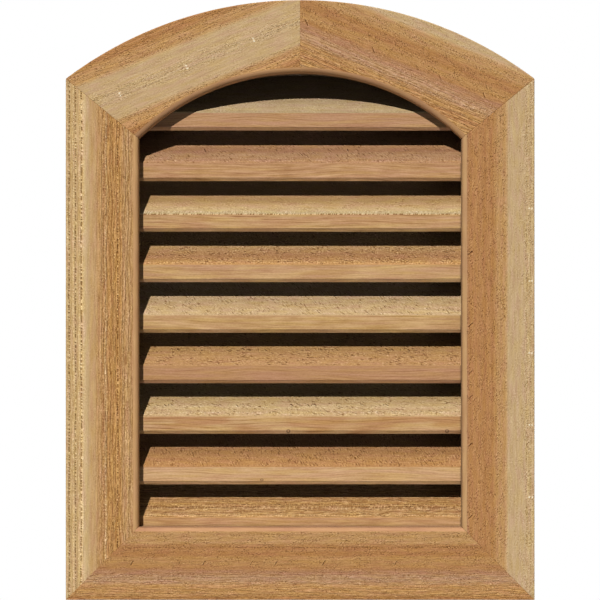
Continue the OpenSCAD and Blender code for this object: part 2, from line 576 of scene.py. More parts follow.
def sawn_cedar(
    name, along, across, offset, bands, zones, seed,
    edge=None, planed=TAN, edge_shade=1.0, lean=0.0, warp=3.0, fleck=(3.2, 1.0), fibre=(30, 4.0),
    dark=(), light=(), torn=0.0, dash=2.3, contrast=1.0, deep=SAWN_DEEP, level=1.0, round_to=EDGE_R,
    threads=1.0,
):
    """Rough-sawn cedar.

    u runs along the grain and v across it, both in millimetres. The bands give the colour across
    the board, each with the level of its tone, and the zones how strongly it is flecked, speckled
    and combed. Flecks are of the size fleck and lean in degrees. Combed grain is ridges of the size
    fibre with fine threads between them. Torn grooves are dark lines broken into dashes, raised
    fibres are light ones, and tears are drawn where the tear attribute says. The tone attribute
    darkens and lightens the hollows and ridges of the mesh. The edge, a line or an arc, is planed
    and rounded over to the distance round_to, and edge_shade is its level on the inner face.
    """
    f = Finish(name)
    x, y, z = f.place()
    u = x * along[0] + z * along[1]
    v = x * across[0] + z * across[1] + (y - FRONT_Y) * deep + offset
    reach = bands[0][0], bands[-1][0]
    wander = f.noise(u / 60, v / 15, seed, 1.0) - 0.5
    jitter = f.noise(u / 4.0, v / 5, seed + 3, 1.5) - 0.5
    wavy = v + wander * warp
    bands = [(at, dim(tone, *by)) for at, tone, *by in bands]
    zones = [(at, levels) for at, *levels in zones]
    colour = f.ramp(wavy + jitter * 1.2, *reach, bands)
    flecked, speckled, combed = f.parts(f.ramp(v, *reach, zones))

    streak = f.noise(u / 42, wavy / 2.4, seed + 11, 1.0) - 0.5
    speckle = f.noise(u / 2.05, wavy / 1.4, seed + 23, 1.5, 0.6)
    patch = f.noise(u / 22, v / 6, seed + 37, 1.0) - 0.5
    hue = f.noise(u / 26, v / 5, seed + 43, 1.5)
    bent = wavy + jitter * 1.5
    hairs = f.noise(u / fibre[0], bent / fibre[1], seed + 47, 0.6, 0.4)
    thread = f.noise(u / 7.5, bent / 1.3, seed + 59, 0.8)
    cos, sin = math.cos(math.radians(lean)), math.sin(math.radians(lean))
    long = (u * cos + wavy * sin) / fleck[0]
    short = (wavy * cos - u * sin) / fleck[1]
    chips = f.noise(long, short, seed + 53, 0.5)
    crowd = f.between(f.noise(u / 16, v / 7, seed + 67, 1.0), 0.40, 0.60, 0.18, 1.05)
    dark_chip = f.between(chips, 0.60, 0.70) * (flecked * crowd)
    pale_chip = f.between(chips, 0.40, 0.27) * (flecked * 0.8)
    fitful = f.between(f.noise(u / 8, v / 2.2, seed + 73, 1.0), 0.36, 0.56, 0.35, 1.0) * combed
    wave = (bent * (2 * math.pi / (0.72 * fibre[1])) + hairs * 16).sine()
    ridge = f.between(wave, 0.10, 0.95) * fitful
    hollow = f.between(wave, -0.55, -0.98) * fitful
    tone = f.attribute("tone")

    colour = f.tinted(colour, hue, (1.0, 0.955, 1.04), (1.01, 1.01, 0.91))
    shade = (speckle - 0.5) * (speckled * (crowd * 0.8 + 0.3) * (1.62 * contrast))
    calm = (1.0 - combed * 0.6) * 0.26
    shade = shade + (thread - 0.5) * (combed * threads) + streak * calm + patch * calm + 1.0
    shade = shade * (ridge * 0.22 + 1.0) * (1.0 - hollow * 0.34) * (combed * 0.09 + 1.0)
    shade = shade * (1.0 - dark_chip * (0.36 * contrast)) * (pale_chip * (0.26 * contrast) + 1.0)
    shade = shade * f.between(tone, -0.15, -0.85, 1.0, 0.84) * f.between(tone, 0.1, 0.8, 1.0, 1.12)
    shade = shade * f.between(tone, -1.2, -2.5, 1.0, 0.52)
    height = speckle * (speckled * 0.35) + streak * 0.12 + pale_chip * 0.25 - dark_chip * 0.7
    height = height + ridge * 0.4 - hollow * 0.5

    bead = f.noise((u - v * 0.3) / dash, v / 6, seed + 61, 0.5)
    if dark:
        mask = drawn(f, wavy + jitter * 1.1, reach, dark, 1.05)
        groove = mask * f.between(bead, 0.49, 0.55)
        beside = mask * f.between(bead, 0.47, 0.40)
        shade = shade * (1.0 - groove * 0.58) * (beside * 0.48 + 1.0)
        height = height - groove + beside * 0.4
    if light:
        mask = drawn(f, wavy + jitter * 1.1, reach, light, 1.3)
        raised = mask * f.between(bead, 0.52, 0.42)
        shade = shade * (raised * 0.48 + 1.0)
        height = height + raised * 0.6
    if torn:
        a, b, strength = f.attribute_parts("tear")
        b = b + (a * 0.6).sine() * 0.3
        inside = f.between(abs(a), 5.0, 3.2) * strength
        tear = f.between(abs(b), 0.8, 0.2) * inside
        lip = f.between(abs(b + 1.3), 0.9, 0.2) * inside
        shade = shade * (1.0 - tear * torn) * (lip * 0.2 + 1.0)
        height = height - tear * 0.8 + lip * 0.3
    colour = f.warm(colour, shade * level)
    colour = f.mix(f.between(tone, 1.1, 2.0), colour, FLASH)

    if edge:
        if edge[0] == "arc":
            rise = z - edge[1]
            rim = (x * x + rise * rise).sqrt() - edge[2]
        else:
            rim = x * edge[0] + z * edge[1] - edge[2]
        smooth = f.between(rim, round_to, round_to - 1.0)
        drift = f.noise(u / 50, y / 9, seed + 83, 1.0)
        hair = f.noise(u / 30, rim / 1.6 + y / 1.6, seed + 87, 1.0)
        rosy = (planed[0] * 0.97, planed[1] * 0.93, planed[2])
        rounded = f.mix(f.between(drift, 0.35, 0.65), dim(planed, 1.04), rosy)
        rounded = f.warm(rounded, (hair - 0.5) * 0.34 + 1.0)
        rounded = f.scale(rounded, f.between(rim, 0.2, 2.0, edge_shade, 1.0))
        colour = f.mix(smooth, colour, rounded)
        height = height * (1 - smooth) + hair * (smooth * 0.1)
    return f.finish(colour, height, 0.86 + (speckle - 0.5) * 0.2)


def planed_cedar(name, front_z, tones, sawn, seed, growth, knots, frayed, figure):
    """Planed cedar on a louver's front: growth lines and fine fibres over a slow drift of tone.

    The eased edge above the front has the slope's sawn tone, and where it is frayed it is broken
    into pale and dark beads. The sole below the front is painted a little paler, painted light, with
    a painted shade line where they meet. The figure is how strongly broad patches show, and growth
    how dark the rings are.
    Each knot has its place along the front, its distance below the edge, and its radius.
    """
    f = Finish(name, specular=0.3)
    x, y, z = f.place()
    up = z - front_z
    v = up + y * 0.35
    drift = f.noise(x / 58, v / 14, seed, 1.0)
    across = f.noise(x / 70, v / 5, seed + 31, 1.0)
    wave = v + f.noise(x / 120, v / 40, seed + 5, 0.0) * 16
    line = f.noise(x / 110, wave / 1.5, seed + 9, 1.0, 0.6) - 0.5
    fibre = f.noise(x / 12, wave / 1.2, seed + 19, 1.0) - 0.5
    grit = f.noise(x / 2.8, v / 1.5, seed + 37, 1.0) - 0.5
    blot = f.noise(x / 34, wave / 4.5, seed + 41, 1.0) - 0.5
    ring = f.between((wave * (2 * math.pi / 4.4)).sine(), 0.55, 1.0)
    ring = ring * f.between(f.noise(x / 50, wave / 4, seed + 27, 0.5), 0.42, 0.62)
    low, high = tones
    colour = f.mix(f.between(drift, 0.38, 0.62), low, high)
    colour = f.tinted(colour, across, (1.0, 0.97, 1.06), (1.0, 1.01, 0.88))
    shade = line * 0.56 + fibre * 0.34 + blot * (figure * 0.9 - 0.7) + grit * 0.26 - ring * growth
    colour = f.warm(colour, shade + 1.0)
    rolled = f.between(up, -2.3, -1.3)
    colour = f.mix(rolled, colour, f.warm(sawn, grit * 0.7 + 1.0))
    if frayed:
        bead = f.noise((x - v * 0.3) / 1.6, v / 6, seed + 61, 0.5)
        rag = f.between(abs(up + 1.2), 1.8, 0.6) * frayed
        pale_bead = rag * f.between(bead, 0.52, 0.42)
        dark_bead = rag * f.between(bead, 0.52, 0.60)
        colour = f.warm(colour, (pale_bead * 0.30 + 1.0) * (1.0 - dark_bead * 0.42))
    # Painted shade: each front darkens over its last millimetre or so on the right, just inside the
    # opening's edge.
    colour = f.scale(colour, f.between(x, HALF_IN - 1.7, HALF_IN - 0.4, 1.0, 0.6))
    # Painted shade: a dark line along the lowest louver's front, where it meets the rail's edge.
    colour = f.scale(colour, f.between(z, OPEN_Z + 0.6, OPEN_Z + 2.0, 0.8, 1.0))
    for at, below, radius in knots:
        away = ((x - at) * (x - at) + (v + below) * (v + below) * 1.7).sqrt()
        dark_ring = f.between(abs(away - radius * 0.7), radius * 0.5, 0.0)
        colour = f.mix(dark_ring * 0.85, colour, (0.13, 0.055, 0.025))
        colour = f.mix(f.between(away, radius * 0.5, 0.0, 0, 0.5), colour, ROSE)
    # Painted light and shade: the sole is lightened, and the line where it meets the front is darkened.
    sole = f.between(up, -LOUVER_FACE + 0.2, -LOUVER_FACE - 0.5)
    arris = f.between(abs(up + LOUVER_FACE + 0.4), 0.8, 0.2)
    colour = f.scale(colour, (sole * 0.22 + 1.0) * (1 - arris * 0.12))
    return f.finish(colour, line * 0.16 + fibre * 0.10 - ring * 0.12, 0.8 + line * 0.2)


def wire_finish():
    """Dark grey coated wire with a faintly uneven coat."""
    f = Finish("screen_wire", specular=0.4)
    x, y, z = f.place()
    coat = f.noise(x / 14, y / 2, z / 14, 2.0)
    colour = f.mix(f.between(coat, 0.3, 0.7), (0.018, 0.018, 0.019), (0.045, 0.044, 0.042))
    return f.finish(colour, coat * 0.03, 0.5 + coat * 0.2)


def steel_finish():
    """Zinc-coated wire: grey, with duller patches."""
    f = Finish("staple_steel", specular=0.5)
    f.shader.inputs["Metallic"].default_value = 1.0
    x, y, z = f.place()
    dull = f.noise(x / 3, y / 3, z / 3, 2.0)
    colour = f.mix(f.between(dull, 0.35, 0.65), (0.55, 0.55, 0.54), (0.30, 0.29, 0.28))
    return f.finish(colour, dull * 0.05, 0.35 + dull * 0.3)


# ---- casing

LEAN = math.radians(22.3)
ARCH_REACH = OUT_CENTRE_Z * math.cos(LEAN) + R_OUT
COS, SIN = math.cos(LEAN), math.sin(LEAN)
TEAR_STEPS = ((0, 1.0), (58, 0.25), (88, 0.9), (146, 0.5), (176, 0.65), (234, 0.9), (322, 0.8))


def tears_from(start, way, v, lean, length):
    """Tears spaced unevenly along the grain, some fainter than others."""
    return [((start + way * step, v), lean, length, strength) for step, strength in TEAR_STEPS]


# For each board: the directions of u and v, v's offset, its lines, its bands and zones and the rest
# of its finish, and the rest of its grain. A band is its place across the board, its tone, and the
# level of the tone where that is not 1.
LEFT_STILE = dict(
    along=(0, 1), across=(-1, 0), offset=-HALF_IN,
    dark=[(25.5, 0.8), (42.9, 0.4), (69.8, 0.95), (76.9, 0.75), (84.5, 0.9)],
    light=[
        (29.5, 0.4), (40.2, 0.9), (46.2, 0.3), (67.6, 0.35), (72.2, 0.65), (79.2, 0.65), (81.0, 0.2),
        (86.8, 0.6),
    ],
    bands=[
        (-30, TAN), (12, TAN, 0.95), (16, TAN, 0.94), (19.5, TAN, 1.02), (22, AMBER), (25.5, AMBER),
        (29, AMBER, 1.03), (33, AMBER, 0.94), (37, AMBER), (40, TAN, 0.96), (43, HONEY, 0.97),
        (47, TAN), (50, TAN), (53, STRAW, 0.95), (58, STRAW, 0.97), (62, FAWN), (66, PALE),
        (70, BUFF, 1.15), (73, BUFF, 0.98), (75.5, BUFF, 0.885), (78.5, BUFF, 1.02), (82, BUFF, 0.885),
        (86, BUFF, 0.92), (95, BUFF, 0.95),
    ],
    zones=[
        (-30, 0.1, 0.3, 0.5), (8, 0.3, 0.7, 0.6), (12, 0.4, 1, 0.88), (42, 0.4, 1, 0.88),
        (49, 0.2, 0.7, 0.5), (56, 0, 0.35, 0.1), (64, 0, 0.4, 0.1), (68, 0.1, 0.55, 0.4),
        (95, 0.2, 0.7, 0.5),
    ],
    planed=(0.58, 0.335, 0.14), fibre=(60, 5.0), dash=1.9, warp=2.2,
    grown=dict(
        seed=11, fibre=(20, 4.8),
        comb=[(6, 0), (12, 0.55), (42, 0.62), (50, 0.3), (56, 0.05), (66, 0.1), (72, 0.3), (90, 0.3)],
        specks=[((at, 40.2), 0.5) for at in (36, 40, 45, 124, 129, 134, 212, 218, 300, 306, 390, 478)],
    ),
)
RIGHT_STILE = dict(
    along=(0, 1), across=(1, 0), offset=-HALF_IN,
    dark=[(79.5, 0.25), (84.3, 0.30)],
    light=[(81.7, 0.3), (86.3, 0.3)],
    bands=[
        (-30, TAN), (6, MAUVE), (10, BRICK), (14, ORANGE, 1.03), (21, ORANGE), (25, ORANGE),
        (28.5, BRICK), (32, ORANGE), (35, ORANGE), (37.5, BRICK), (41, HONEY), (44, TAN), (48, TAN),
        (52.5, TAN), (55, STRAW), (57, CREAM, 0.92), (77, CREAM, 0.93), (80, FAWN, 1.02), (95, FAWN),
    ],
    zones=[
        (-30, 0.1, 0.3, 0.3), (8, 0.8, 0.7, 0.2), (53, 0.9, 0.7, 0.2), (58, 0.15, 0.4, 0.1),
        (72, 0.25, 0.5, 0.1), (78, 0.5, 0.8, 0.2), (95, 0.55, 0.85, 0.3),
    ],
    torn=0.54, planed=(0.48, 0.28, 0.122), edge_shade=0.62, lean=32, fleck=(2.8, 1.05), warp=2.5,
    dash=1.6,
    grown=dict(
        seed=23, tears=tears_from(390, -1, 11.0, 54, 8.5),
        comb=[(8, 0.25), (50, 0.25), (58, 0.05), (76, 0.1), (90, 0.3)],
        specks=[((at, v), 1) for at in (444, 356, 268, 180, 92) for v in (82.4, 85.8)],
    ),
)
BOTTOM_RAIL = dict(
    along=(1, 0), across=(0, -1), offset=OPEN_Z,
    dark=[(25.2, 0.42)],
    bands=[
        (-30, TAN), (5, TAN, 1.03), (9, TAN, 0.97), (19, TAN), (22, ORANGE, 0.95), (25.5, BRICK),
        (28.5, ORANGE), (31, BRICK), (34.5, BRICK), (37.5, HONEY, 0.98), (44, HONEY, 0.94),
        (50, ORANGE, 0.96), (54, MAUVE, 0.95), (57, MAUVE, 0.98), (60, ROSE, 0.95), (67, ROSE),
        (72, HONEY, 1.04), (80, HONEY, 1.02), (83, HONEY, 0.95), (86, RUST, 0.98), (87.5, BRICK),
        (89, TAN), (95, TAN),
    ],
    zones=[
        (-30, 0.1, 0.3, 0.3), (8, 0.8, 0.6, 0.2), (26, 0.9, 0.7, 0.2), (46, 0.5, 0.6, 0.2),
        (54, 0.4, 0.8, 0.2), (58, 0.4, 0.9, 0.4), (72, 0.4, 0.9, 0.48), (83, 0.3, 0.9, 0.58),
        (95, 0.6, 0.7, 0.5),
    ],
    torn=0.32, planed=(0.54, 0.287, 0.137), edge_shade=0.74, lean=-25, fleck=(2.4, 1.05),
    fibre=(45, 4.0), dash=1.4, level=0.99, round_to=5.7, threads=1.7,
    grown=dict(
        seed=37, fibre=(14, 3.4), tears=tears_from(-205, 1, 44.0, -52, 7.5),
        comb=[(8, 0.2), (48, 0.2), (58, 0.15), (74, 0.18), (83, 0.26), (87, 0.3)],
    ),
)
LEFT_ARCH = dict(
    along=(COS, SIN), across=(SIN, -COS), offset=ARCH_REACH,
    dark=[(54.6, 0.14), (61.4, 0.16)],
    light=[(57.2, 0.25), (59.4, 0.2)],
    bands=[
        (-10, ORANGE), (6, ORANGE, 1.1), (9.5, BRICK, 1.04), (14, HONEY, 1.02), (18, TAN, 1.08),
        (26, TAN, 1.04), (29.5, STRAW, 1.05), (33, CREAM, 0.97), (42, CREAM, 0.97), (50, CREAM, 1.03),
        (55, CREAM, 0.97), (65, CREAM, 0.98), (83, CREAM, 0.98), (87, STRAW), (89.5, TAN),
        (98, TAN, 1.2), (102, ORANGE, 1.08), (106, BRICK), (125, TAN),
    ],
    zones=[
        (-10, 0.9, 0.8, 0.3), (26, 0.9, 0.8, 0.3), (33, 0.15, 0.35, 0.1), (44, 0.2, 0.5, 0.1),
        (53, 0.65, 0.7, 0.2), (62, 0.65, 0.7, 0.2), (68, 0.15, 0.4, 0.1), (80, 0.15, 0.35, 0.1),
        (89, 0.9, 0.8, 0.3), (125, 0.9, 0.8, 0.3),
    ],
    planed=(0.47, 0.255, 0.112), warp=3.5, lean=12, fleck=(2.8, 1.05), dash=1.5, level=0.97,
    grown=dict(
        seed=41,
        comb=[
            (0, 0.3), (26, 0.3), (34, 0.05), (50, 0.1), (56, 0.3), (64, 0.1), (84, 0.1), (90, 0.3),
            (120, 0.3),
        ],
        specks=[((at, v), 1) for at in (194, 106, 18, -70) for v in (57.0, 60.6)],
    ),
)
RIGHT_ARCH = dict(
    along=(COS, -SIN), across=(-SIN, -COS), offset=ARCH_REACH,
    bands=[
        (-10, CREAM, 0.95), (12, CREAM, 0.95), (15, STRAW, 1.02), (18, TAN, 1.01), (23, TAN), (27, TAN),
        (31, HONEY), (34, BRICK), (38, ORANGE), (42, BRICK), (48, HONEY), (54, HONEY), (58, ORANGE),
        (62, MAUVE), (66, MAUVE, 1.05), (71, ROSE, 1.03), (78, ROSE), (85, HONEY), (91, HONEY),
        (95, BRICK, 1.05), (99, ORANGE, 1.02), (103, HONEY), (125, TAN),
    ],
    zones=[
        (-10, 0.3, 0.4, 0.1), (14, 0.4, 0.5, 0.1), (20, 0.9, 0.8, 0.2), (50, 0.9, 0.8, 0.2),
        (62, 0.45, 0.8, 0.25), (70, 0.4, 0.95, 0.5), (88, 0.35, 0.95, 0.6), (94, 0.3, 0.8, 0.85),
        (125, 0.1, 0.5, 1),
    ],
    torn=0.5, planed=(0.46, 0.248, 0.108), lean=50, fleck=(2.4, 1.05), fibre=(60, 4.2), warp=3.5,
    threads=1.6,
    grown=dict(
        seed=59, fibre=(20, 3.4), tears=tears_from(-247, 1, 58.5, 52, 9),
        comb=[
            (0, 0.1), (14, 0.2), (56, 0.2), (63, 0.25), (70, 0.28), (86, 0.35), (94, 0.65), (120, 0.75),
        ],
    ),
)


def casing():
    """The five boards round the opening: two stiles, the rail, and the two halves of the arch."""
    profile = casing_profile(CASING_W, 0.8)

    def cased(name, sheet, seed, edge, step, ease, inner, outer):
        look = dict(sheet)
        grown = look.pop("grown")
        along, across, offset = sheet["along"], sheet["across"], sheet["offset"]
        dark, light = sheet.get("dark", ()), sheet.get("light", ())

        def face(x, z, _across, back):
            u = x * along[0] + z * along[1] + 0 * back
            v = x * across[0] + z * across[1] + offset + SAWN_DEEP * (back - FRONT_Y)
            return grain(u, v, dark=dark, light=light, **grown)

        finish = sawn_cedar("cedar_" + name, seed=seed, edge=edge, **look)
        node = "casing_" + name
        board(name, node, "casing", inner, outer, CASING_W, profile, face, finish, step, ease)

    for name, side, sheet, seed, ease in (
        ("left_stile", -1, LEFT_STILE, 101, (0.15, 0.35)),
        ("right_stile", 1, RIGHT_STILE, 202, (0.3, 0.35)),
    ):
        inner = upright_edge(side * HALF_IN, OPEN_Z, SPRING_Z)
        outer = upright_edge(side * HALF_OUT, FOOT_Z, SHOULDER_Z)
        cased(name, sheet, seed, (side, 0, HALF_IN), 1.3, ease, inner, outer)
    inner, outer = level_edge(OPEN_Z, HALF_IN), level_edge(FOOT_Z, HALF_OUT)
    cased("bottom_rail", BOTTOM_RAIL, 303, (0, -1, -OPEN_Z), 1.3, (0.15, 0.3), inner, outer)
    for name, side, sheet, seed in (("left", -1, LEFT_ARCH, 404), ("right", 1, RIGHT_ARCH, 505)):
        inner = arc_edge(IN_CENTRE_Z, R_IN, side, HALF_IN)
        outer = arc_edge(OUT_CENTRE_Z, R_OUT, side, HALF_OUT)
        edge = ("arc", IN_CENTRE_Z, R_IN)
        cased("arch_" + name, sheet, seed, edge, 1.0, (0.25, 0.35), inner, outer)


# ---- louvers

# For each louver: the slope's tones from its front edge to its back, darker towards the back as
# painted shade, the front's two tones, the slope's flecks, speckle and combing, and the lean of its
# flecks. Then, where they are not as usual: the level of the eased edge, which paints in the light
# and shade that edge catches, the front's figure and rings, the slope's contrast and combed
# ridges, its rows of raised and torn fibres, how frayed the edge is, the place of each tear that
# comes back along the board, its lean, and the front's knots.
LOUVERS = [
    dict(
        slope=((0.515, 0.36, 0.187), (0.45, 0.31, 0.165), (0.38, 0.26, 0.135), (0.41, 0.285, 0.155)),
        face=((0.465, 0.255, 0.122), (0.45, 0.24, 0.116)), zone=(0.3, 0.45, 0.1), lean=-20, arris=0.9,
        figure=0.85,
    ),
    dict(
        slope=((0.435, 0.23, 0.108), (0.405, 0.222, 0.105), (0.33, 0.158, 0.074), (0.37, 0.188, 0.083)),
        face=((0.485, 0.265, 0.12), (0.475, 0.26, 0.116)), zone=(0.75, 0.36, 0.2), lean=-38, arris=1.12,
        figure=1.6, light=[(5.0, 0.6), (2.0, 0.6)], tears=[(-29.0, 16.0)], tear_lean=-50,
    ),
    dict(
        slope=((0.632, 0.446, 0.219), (0.53, 0.326, 0.15), (0.40, 0.243, 0.092), (0.395, 0.223, 0.094)),
        face=((0.52, 0.31, 0.135), (0.49, 0.27, 0.12)), zone=(0.4, 0.45, 0.1), lean=-25, arris=0.9,
        figure=1.25, growth=0.24, light=[(0.8, 1.0)], frayed=1.35,
    ),
    dict(
        slope=((0.48, 0.252, 0.092), (0.38, 0.186, 0.075), (0.40, 0.212, 0.083), (0.425, 0.245, 0.101)),
        face=((0.557, 0.338, 0.153), (0.483, 0.27, 0.124)), zone=(1, 1, 0.2), lean=-14, arris=1.22,
        figure=0.9, light=[(1.4, 0.55), (4.0, 0.35)],
    ),
    dict(
        slope=((0.61, 0.412, 0.21), (0.55, 0.36, 0.175), (0.475, 0.315, 0.15), (0.46, 0.30, 0.157)),
        face=((0.475, 0.275, 0.114), (0.53, 0.32, 0.137)), zone=(0.85, 0.5, 0.1), lean=-40, arris=1.03,
        figure=1.25,
    ),
    dict(
        slope=((0.51, 0.275, 0.113), (0.465, 0.25, 0.098), (0.42, 0.226, 0.085), (0.375, 0.203, 0.073)),
        face=((0.445, 0.232, 0.105), (0.435, 0.225, 0.103)), zone=(1, 0.6, 0.2), lean=-12,
        tears=[(18.5, 18.8), (26.0, 18.2), (46.0, 17.6)],
    ),
    dict(
        slope=((0.58, 0.38, 0.182), (0.58, 0.395, 0.195), (0.48, 0.315, 0.147), (0.41, 0.265, 0.116)),
        face=((0.535, 0.322, 0.145), (0.455, 0.238, 0.095)), zone=(0.9, 0.5, 0.1), lean=-15, arris=1.06,
        growth=0.24, light=[(3.0, 0.8), (1.2, 0.5)], tears=[(-10.0, 12.4), (10.5, 11.8), (18.4, 12.8)],
        knots=[(-14.5, 19.4, 2.6), (180.0, 19.4, 2.6)],
    ),
    dict(
        slope=((0.495, 0.245, 0.087), (0.43, 0.214, 0.077), (0.36, 0.177, 0.061), (0.33, 0.16, 0.06)),
        face=((0.535, 0.31, 0.142), (0.565, 0.34, 0.162)), zone=(0.9, 0.7, 0.2), lean=-60, growth=0.14,
        knots=[(-47.0, 17.5, 2.2)],
    ),
    dict(
        slope=((0.457, 0.245, 0.088), (0.447, 0.231, 0.086), (0.445, 0.23, 0.071), (0.38, 0.19, 0.067)),
        face=((0.48, 0.26, 0.112), (0.50, 0.28, 0.118)), zone=(0.6, 0.7, 0.8), lean=0, arris=1.24,
        figure=1.4, contrast=1.15, comb=0.5, light=[(8.3, 1), (0.8, 1), (17.5, 0.7)],
        dark=[(10.6, 0.66), (13.4, 0.5)],
    ),
]


def louver_profile(z_foot):
    """Depth and height round a louver, from its front edge.

    The legs are the front, the sole, the underside, the back, the hidden and the seen part of the
    slope, and the eased edge. The lowest louver is cut off level where it stands on the sill.
    """
    cos, sin = math.cos(LOUVER_SLOPE), math.sin(LOUVER_SLOPE)
    start = -LOUVER_FACE * sin

    def turned(a, b):
        return np.array([a * cos - b * sin, a * sin + b * cos])

    low = turned(start, -LOUVER_T)
    high = turned(start + LOUVER_W, 0)
    behind = turned(start + LOUVER_W, -LOUVER_T)
    seen = turned(34.0, 0)  # what lies behind this is hidden by the louver above
    ease = ARRIS_R * math.tan((math.pi / 2 - LOUVER_SLOPE) / 2)
    legs = [
        straight((0, -ease), (0, -LOUVER_FACE), 1.2, 0.25),
        straight((0, -LOUVER_FACE), low, 1.2, 0.1),
        straight(low, behind, 4, 0.6),
        straight(behind, high, 4, 0.4),
        straight(high, seen, 3.0, 1.0),
        straight(seen, turned(ease, 0), 0.9, 1.0),
        bend((ARRIS_R, -ease), ARRIS_R, 90 + math.degrees(LOUVER_SLOPE), 180, 5, 0.4),
    ]
    faces = (1, 1, 2, 2, 0, 0, 0)  # which finish each leg has: slope, front or the dark underside, painted shade
    which = np.concatenate([np.full(len(leg), faces[k]) for k, leg in enumerate(legs)])
    profile = np.vstack(legs)
    profile[:, 1] = np.maximum(profile[:, 1], z_foot)
    ahead = np.roll(profile, -1, axis=0) - profile
    apart = np.hypot(ahead[:, 0], ahead[:, 1]) > 0.01
    return profile[apart], which[apart]


TEAR_PITCH = 88.0  # the distance along a louver at which its tears come back
SLOPE_LIGHT = 0.88  # a slope is turned to the key light, so its tones are set back by this


def louver(
    number, underside_painted_shade, slope, face, zone, lean, arris=1.0, figure=1.0, growth=0.10, contrast=1.3,
    comb=0.2, light=(), dark=(), frayed=0.0, tears=(), tear_lean=-20, knots=(),
):
    """A sloping board with an upright front, its ends following the bay's upright sides and arch.

    A point is x = share * half(z), where half is the bay's half width, or under the arch
    sqrt(R² - (z - centre)²).
    """
    front_z = LOUVER_3_Z + (3 - number) * PITCH
    profile, which = louver_profile(SILL_HIGH[2] - front_z)
    y, h, rough = profile.T
    bay = R_BAY - LOUVER_PLAY
    z = np.minimum(h + front_z, IN_CENTRE_Z + bay - 0.4)  # just below the crown, for half above 0
    above = np.maximum(z - IN_CENTRE_Z, 0)
    half = np.minimum(BOX_IN - LOUVER_PLAY, np.sqrt(bay**2 - above**2))
    length = 2 * half.max()
    share = stations(length, 1.6, 0.5)
    x = (2 * share[:, None] - 1) * half[None, :]
    into = inward(np.column_stack([y, z]))
    seed = 20 * number
    tears = [
        ((at + step * TEAR_PITCH, up), tear_lean, 4.2, 1.0 if (step + number) % 2 else 0.6)
        for at, up in tears for step in (-2, -1, 0, 1)
    ]
    up_slope = (z - front_z)[None, :] + 0 * x
    depth, tone, tear = grain(x, up_slope, seed, [(0, comb), (40, comb)], (15, 3.6), dark, light, tears)
    stand = depth * rough[None, :] + end_inset(share, length, 0.4, 0.4)[:, None]
    rings = np.stack([x, y + into[:, 0] * stand, z + into[:, 1] * stand], axis=-1)
    # From near to far the slope's tone darkens: painted shade. Arris raises or lowers the eased edge:
    # painted light and shade.
    near, middle, back, far = (dim(tint, SLOPE_LIGHT) for tint in slope)
    sawn = sawn_cedar(
        f"cedar_slope_{number}", (1, 0), (0, 1), -front_z,
        [
            (-60, back), (-1, near, arris), (0.6, near, arris), (2.5, near), (9.5, middle),
            (14.5, back), (19.5, far), (60, far),
        ],
        [(-60, 0.2, 0.5, 0.4), (0, *zone), (60, *zone)], 600 + seed,
        lean=lean, warp=1.5, fleck=(4.8, 1.2), fibre=(36, 4.4), dark=dark, light=light,
        dash=1.6, contrast=contrast, deep=0, torn=0.55 if tears else 0.0,
    )
    planed = planed_cedar(
        f"cedar_front_{number}", front_z, face, dim(slope[0], arris), 900 + seed,
        growth, knots, frayed, figure,
    )
    solid(
        f"louver_board_{number}", rings, "louvers", f"louver_{number}", [sawn, planed, underside_painted_shade],
        tone * (rough >= 1)[None, :], tear if tears else None, which, smooth=25,
    )


# ---- box


def box():
    """The boards round the bay, and the sill."""
    mottled = (0.4, 0.7, 0.7)
    side_finish = sawn_cedar(
        "cedar_box_sides", (0, 1), (1, 0), 0,
        [
            (-320, TAN), (-216, HONEY), (-206, TAN), (-180, HONEY), (180, ORANGE), (206, HONEY),
            (216, TAN), (320, TAN),
        ],
        [(-320, *mottled), (320, *mottled)], 707,
    )
    end_finish = sawn_cedar(
        "cedar_box_ends", (1, 0), (0, 1), 0,
        [(-60, TAN), (10, HONEY), (400, TAN), (500, HONEY), (600, TAN), (700, HONEY)],
        [(-60, *mottled), (700, *mottled)], 717,
    )
    profile = plank_profile(BOX_T, SIDE_LOW[1], SIDE_HIGH[1])

    def boxed(name, node, inner, outer, seed, along, finish):
        def face(x, z, across, back):
            u = x * along[0] + z * along[1]
            return grain(u, back + across + 0 * u, seed, [(-100, 0.4), (200, 0.4)])

        board(name, node, "box", inner, outer, BOX_T, profile, face, finish, 2.6)

    def side_edge(x, radius):
        return upright_edge(x, SIDE_LOW[2], IN_CENTRE_Z + math.sqrt(radius**2 - x**2))

    for side, name in ((-1, "left"), (1, "right")):
        inner, outer = side_edge(side * BOX_IN, R_BAY), side_edge(side * BOX_OUT, R_BOX)
        boxed(f"box_side_{name}", f"box_{name}_side", inner, outer, 30 + side, (0, 1), side_finish)
        inner = arc_edge(IN_CENTRE_Z, R_BAY, side, BOX_IN)
        outer = arc_edge(IN_CENTRE_Z, R_BOX, side, BOX_OUT)
        boxed(f"box_arch_{name}", f"box_head_{name}", inner, outer, 34 + side, (1, 0), end_finish)
    inner, outer = level_edge(SILL_HIGH[2], BOX_IN), level_edge(SILL_LOW[2], BOX_IN)
    boxed("box_bottom", "box_sill", inner, outer, 38, (1, 0), end_finish)


# ---- insect screen


def bars(starts, ends, thick):
    """Points and faces of straight square bars between pairs of points, with closed ends."""
    along = ends - starts
    along /= np.linalg.norm(along, axis=1)[:, None]
    side = np.cross(along, (0, 1, 0)) * thick
    back = np.array([0, thick, 0])
    offset = [side * a + back * b for a, b in ((-0.5, -0.5), (0.5, -0.5), (0.5, 0.5), (-0.5, 0.5))]
    offset = np.stack(offset, axis=1)
    points = np.concatenate([starts[:, None] + offset, ends[:, None] + offset], axis=1)
    block = [(0, 1, 5, 4), (1, 2, 6, 5), (2, 3, 7, 6), (3, 0, 4, 7), (3, 2, 1, 0), (4, 5, 6, 7)]
    faces = np.array(block)[None] + 8 * np.arange(len(starts))[:, None, None]
    return points, faces.reshape(-1, 4)


